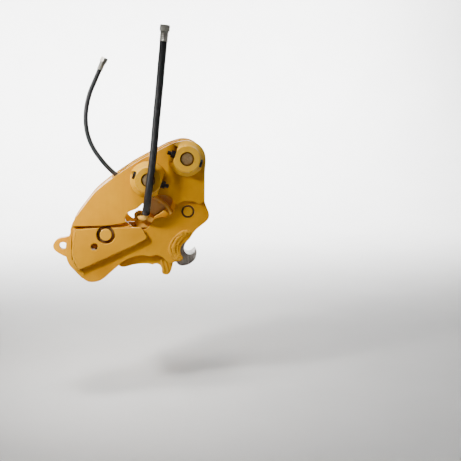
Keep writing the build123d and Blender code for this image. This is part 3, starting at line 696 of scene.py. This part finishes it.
# ------------------------------------------------------------------ painted plates and castings
PLATES = ["side_plate_left", "side_plate_right", "cross_bar", "front_tie_plate", "nose_plate", "upper_rear_plate",
          "lower_rear_plate", "lifting_eye", "fixed_hook_left", "fixed_hook_right", "ear_doubler_left", "ear_doubler_right"]
for nname in PLATES:
    skin(nname, [mat_paint, mat_edge_wear_and_highlight])
for nname in ("lower_doubler_left", "lower_doubler_right"):
    skin(nname, [mat_doubler, mat_edge_wear_and_highlight], width=0.0014, segments=3)
for nname in ("arm_boss_left", "arm_boss_right", "link_boss_left", "link_boss_right"):
    skin(nname, [mat_boss, mat_edge_wear_and_highlight], width=0.0007)
# painted light: the guard plate behind the window takes a pale, washed-out enamel, standing for light falling on it
mat_guard_painted_light = paint("yellow_enamel_guard_painted_light", (0.86, 0.610, 0.230), (0.78, 0.500, 0.130), (0.90, 0.700, 0.330), grime_and_shade=0.35, spec=0.3, shade=0.10)
skin("guard_plate", [mat_guard_painted_light, mat_inside_painted_light])
for nname in ("cylinder_base", "cylinder_barrel", "port_block", "return_port_boss", "pressure_tail", "return_elbow"):
    skin(nname, [mat_inside_painted_light], width=0.0007)
for nname, c in (("arm_pin", (0.0, 0.0)), ("link_pin", (-0.0972, -0.0514))):
    skin(nname, [pin_metal(nname + "_face", c)], width=0.0005)
mat_pin_painted = paint("yellow_enamel_pin", (0.790, 0.385, 0.015), (0.700, 0.315, 0.008), (0.840, 0.450, 0.035), bumpy=0.7)
for nname in ("cylinder_base_pin", "hook_pivot_pin"):
    skin(nname, [mat_pin_painted, mat_edge_wear_and_highlight], width=0.0005)
# dark brown oxidised steel rings, made this dark so that they also stand for the shade in the recess round each pin
mat_ring_oxide_and_shade = metal("ring_dark_oxide_and_shade", (0.140, 0.066, 0.016), (0.060, 0.026, 0.006), (0.300, 0.150, 0.040), rough=0.55, metallic=0.15, rust=0.5)
for nname in ("base_pin_rings", "pivot_pin_rings"):
    skin(nname, [mat_ring_oxide_and_shade], width=0.0003)
for nname in ("base_bush", "hook_bush"):
    skin(nname, [mat_bronze], width=0.0004)
for nname in ("base_spacers", "pivot_spacers"):
    skin(nname, [mat_steel], width=0.0004)
for nname in ("rod_eye_pin", "piston_rod", "piston"):
    skin(nname, [mat_steel], width=0.0004)
skin("gland", [mat_black], width=0.0005)
for nname in ("rod_wiper", "piston_seal"):
    skin(nname, [mat_seal], width=0.0002)
for nname in ("arm_pin_bolt", "link_pin_bolt", "arm_pin_nut", "link_pin_nut"):
    skin(nname, [mat_black], width=0.0004)
skin("moving_hook", [mat_forged, mat_forged_edge], width=0.0022, segments=3)

# ------------------------------------------------------------------ welds
for side, s in (("left", -1), ("right", 1)):
    seam(f"ear_{side}", f"ear_doubler_{side}", s * 48, f"side_plate_{side}", 2.6,
         avoid=(f"lower_doubler_{side}",))
    seam(f"quad_{side}", f"lower_doubler_{side}", s * 48, f"side_plate_{side}", 3.0,
         avoid=(f"ear_doubler_{side}",))

    # hard-facing round the front jaw, in three overlapping passes
    inner = [(9.0, -188.0), (2.0, -194.5), (-9.0, -201.5), (-18.0, -212.5), (-23.6, -226.0), (-24.2, -239.0), (-19.8, -251.0), (-12.5, -260.0)]
    outer = [(-1.5, -187.0), (-13.5, -191.5), (-27.5, -200.5), (-38.5, -213.0), (-44.0, -228.0), (-42.5, -243.0), (-35.0, -256.0), (-24.0, -264.5)]
    for k, f in enumerate((0.06, 0.52, 1.0)):
        line = [(a[0] + (b[0] - a[0]) * f, s * 48.0, a[1] + (b[1] - a[1]) * f) for a, b in zip(inner, outer)]
        bead(f"hardface_{side}_{k + 1}", "frame", smooth(line), (4.6, 5.4, 4.2)[k], (0, s, 0), squash=(0.45, 0.62, 0.72)[k],
             pitch=(5.5, 7.5, 5.5)[k], seed=21 + k, lumpy=4.0)
    # runs laid over the end of the lower doubler where it meets the rear plates
    bead(f"rear_bead_{side}", "frame", smooth([(-281.5, s * 57.0, -180.5), (-285.6, s * 57.0, -206.0), (-289.0, s * 57.0, -236.0),
                                               (-283.0, s * 57.0, -256.0), (-276.0, s * 57.0, -273.5)]), 2.6, (0, s, 0), squash=0.6,
         seed=41, lumpy=2.0)
    bead(f"corner_bead_{side}", "frame", smooth([(-287.0, s * 48.6, -250.0), (-287.5, s * 48.6, -262.0), (-281.5, s * 48.6, -276.0),
                                                 (-270.0, s * 48.6, -283.5), (-263.0, s * 48.6, -294.0)]), 3.4, (0, s, 0), squash=0.7,
         seed=43, pitch=4.2, lumpy=2.6)
    # hard-facing on the finger of the fixed hook
    for k, line in enumerate(([(-66.5, -262.0), (-65.0, -272.0), (-61.5, -284.0), (-58.0, -298.0)],
                              [(-56.5, -258.0), (-54.5, -270.0), (-51.5, -283.0), (-48.5, -297.5)],
                              [(-46.5, -254.0), (-44.5, -266.0), (-43.0, -280.0)])):
        bead(f"finger_bead_{side}_{k + 1}", "frame", smooth([(x, s * 36.0, z) for x, z in line]), 3.2, (0, s, 0),
             squash=0.55, seed=31 + k)

# ------------------------------------------------------------------ hoses, their ferrules and nuts
PRESSURE = [(-54.7, -92, 282.6), (-61, -92.4, 226), (-66.6, -92, 171), (-73.2, -92.6, 114), (-78.6, -92.2, 64),
            (-83.8, -93, 14), (-90.6, -93.6, -34), (-96.6, -94, -72.5), (-100.4, -86, -102), (-102.8, -75.5, -122)]
RETURN = [(-209.9, -28, 217.9), (-222.6, -28, 190.8), (-236, -28, 161.7), (-244.6, -28, 130), (-248.6, -28, 96.6),
          (-245.4, -28, 61), (-233.5, -28, 28), (-215.5, -28, 0), (-192.5, -28.2, -28), (-168, -28.6, -49),
          (-137, -29, -64.5), (-112.5, -29.3, -75.6), (-91.7, -29.5, -87.6), (-80.3, -29.5, -97.3)]


def hose(name, pts, dia, mat, node, resolution=14):
    cu = bpy.data.curves.new(name, "CURVE")
    cu.dimensions = "3D"
    sp = cu.splines.new("NURBS")
    sp.points.add(len(pts) - 1)
    for p, q in zip(sp.points, pts):
        p.co = (q[0] / 1000.0, q[1] / 1000.0, q[2] / 1000.0, 1.0)
    sp.order_u = 3
    sp.use_endpoint_u = True
    cu.resolution_u = resolution
    cu.bevel_depth = dia / 2000.0
    cu.bevel_resolution = 7
    cu.use_fill_caps = True
    cu.materials.append(mat)
    ob = bpy.data.objects.new(name, cu)
    link(ob)
    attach(ob, "cylinder")
    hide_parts(node)
    return ob


def step_from(p, d, s):
    d = Vector(d).normalized()
    return Vector(p) + d * s


thick = hose("pressure_hose_line", PRESSURE, 18.5, mat_hose, "pressure_hose")
thin = hose("return_hose_line", RETURN, 11.5, mat_hose_thin, "return_hose")

P0, P1 = Vector(PRESSURE[0]), Vector(PRESSURE[1])
PL, PK = Vector(PRESSURE[-1]), Vector(PRESSURE[-2])
up = (P0 - P1).normalized()
low = (PL - PK).normalized()
top_f = crimped("pressure_top_ferrule_crimped", P0 - up * 0.0, up, 24.0, 10.6, 9.25, 4, mat_zinc, "cylinder",
                replaces=("pressure_top_ferrule",), slot="fitting_steel")
top_n = hex_nut("pressure_top_nut_hex", P0 + up * 24.0, up, 24.0, 15.0, 7.5, mat_zinc, "cylinder",
                replaces=("pressure_top_nut",), slot="fitting_steel")
low_f = crimped("pressure_ferrule_crimped", PL, low, 17.0, 9.9, 9.25, 3, mat_black, "cylinder",
                replaces=("pressure_ferrule",), slot="fitting_steel")
R0, R1 = Vector(RETURN[0]), Vector(RETURN[1])
r_up = (R0 - R1).normalized()
rt_f = crimped("return_top_ferrule_crimped", R0, r_up, 20.0, 7.4, 5.75, 4, mat_zinc, "cylinder",
               replaces=("return_top_ferrule",), slot="fitting_steel")
rt_n = hex_nut("return_top_nut_hex", R0 + r_up * 20.0, r_up, 17.0, 12.0, 5.0, mat_zinc, "cylinder",
               replaces=("return_top_nut",), slot="fitting_steel")
E_END, E_PREV = Vector((-63.5, -29.5, -111.6)), Vector((-46.0, -29.5, -126.5))
e_dir = (E_END - E_PREV).normalized()
rb_n = hex_nut("return_nut_hex", E_END, e_dir, 14.0, 9.0, 5.25, mat_inside_painted_light, "cylinder", replaces=("return_nut",),
               slot="fitting_steel")
rb_f = crimped("return_ferrule_crimped", E_END + e_dir * 22.0, -e_dir, 13.0, 6.9, 5.75, 3, mat_inside_painted_light, "cylinder",
               replaces=("return_ferrule",), slot="fitting_steel")

# ------------------------------------------------------------------ floor, light
t = Tree("floor_pale")
g = t.ramp(t.noise(3.0, 4, 0.6), [(0.3, (0.90, 0.90, 0.895)), (0.7, (0.93, 0.93, 0.925))])
t.bump([(t.noise(260, 3, 0.6), 0.05, 0.0005)])
mat_floor = t.done(g, 0.8)
FZ = -0.65
back = [(-4.0, FZ), (2.2, FZ)]
for k in range(1, 17):
    a = math.pi / 2 * k / 16
    back.append((2.2 + 1.6 * math.sin(a), FZ + 1.6 * (1 - math.cos(a))))
back.append((3.8, 6.0))
verts, faces = [], []
for y, z in back:
    verts += [(-7.0, y, z), (7.0, y, z)]
for i in range(len(back) - 1):
    faces.append((2 * i, 2 * i + 1, 2 * i + 3, 2 * i + 2))
me = bpy.data.meshes.new("floor_and_backdrop")
me.from_pydata(verts, [], faces)
for p in me.polygons:
    p.use_smooth = True
me.materials.append(mat_floor)
floor = bpy.data.objects.new("floor_and_backdrop", me)
link(floor)

world = bpy.data.worlds.new("studio")
scene.world = world
world.use_nodes = True
bg = world.node_tree.nodes["Background"]
bg.inputs[0].default_value = (1.0, 0.99, 0.97, 1)
bg.inputs[1].default_value = 0.05


def softbox(name, loc, target, size, power, colour=(1, 1, 1), spread=180):
    la = bpy.data.lights.new(name, "AREA")
    la.shape = "RECTANGLE"
    la.size, la.size_y = size
    la.energy = power
    la.color = colour
    la.spread = math.radians(spread)
    ob = bpy.data.objects.new(name, la)
    link(ob)
    ob.location = loc
    ob.rotation_mode = "QUATERNION"
    ob.rotation_quaternion = (Vector(target) - Vector(loc)).to_track_quat("-Z", "Y")
    return ob


softbox("key", (-0.70, -0.45, 0.40), (-0.33, 0.0, -0.08), (0.13, 0.13), 2.75, (1.0, 0.98, 0.94), 70)
softbox("top", (-0.34, -0.45, 1.45), (-0.16, 0.0, -0.12), (0.40, 0.30), 3.6, (1.0, 0.98, 0.95), 70)
softbox("fill", (1.7, -1.6, 0.2), (-0.13, 0.0, -0.15), (1.4, 1.4), 1.6, (1.0, 0.98, 0.96))
softbox("rim", (1.3, 1.2, 1.2), (-0.13, 0.0, -0.1), (1.0, 1.0), 5, (1.0, 1.0, 1.0))
softbox("backdrop_left", (-2.0, 1.6, 2.6), (-0.7, 3.6, 0.3), (1.6, 1.6), 190, (1, 1, 1), 95)
softbox("backdrop_right", (2.0, 1.6, 2.6), (0.7, 3.6, 0.3), (1.6, 1.6), 190, (1, 1, 1), 95)
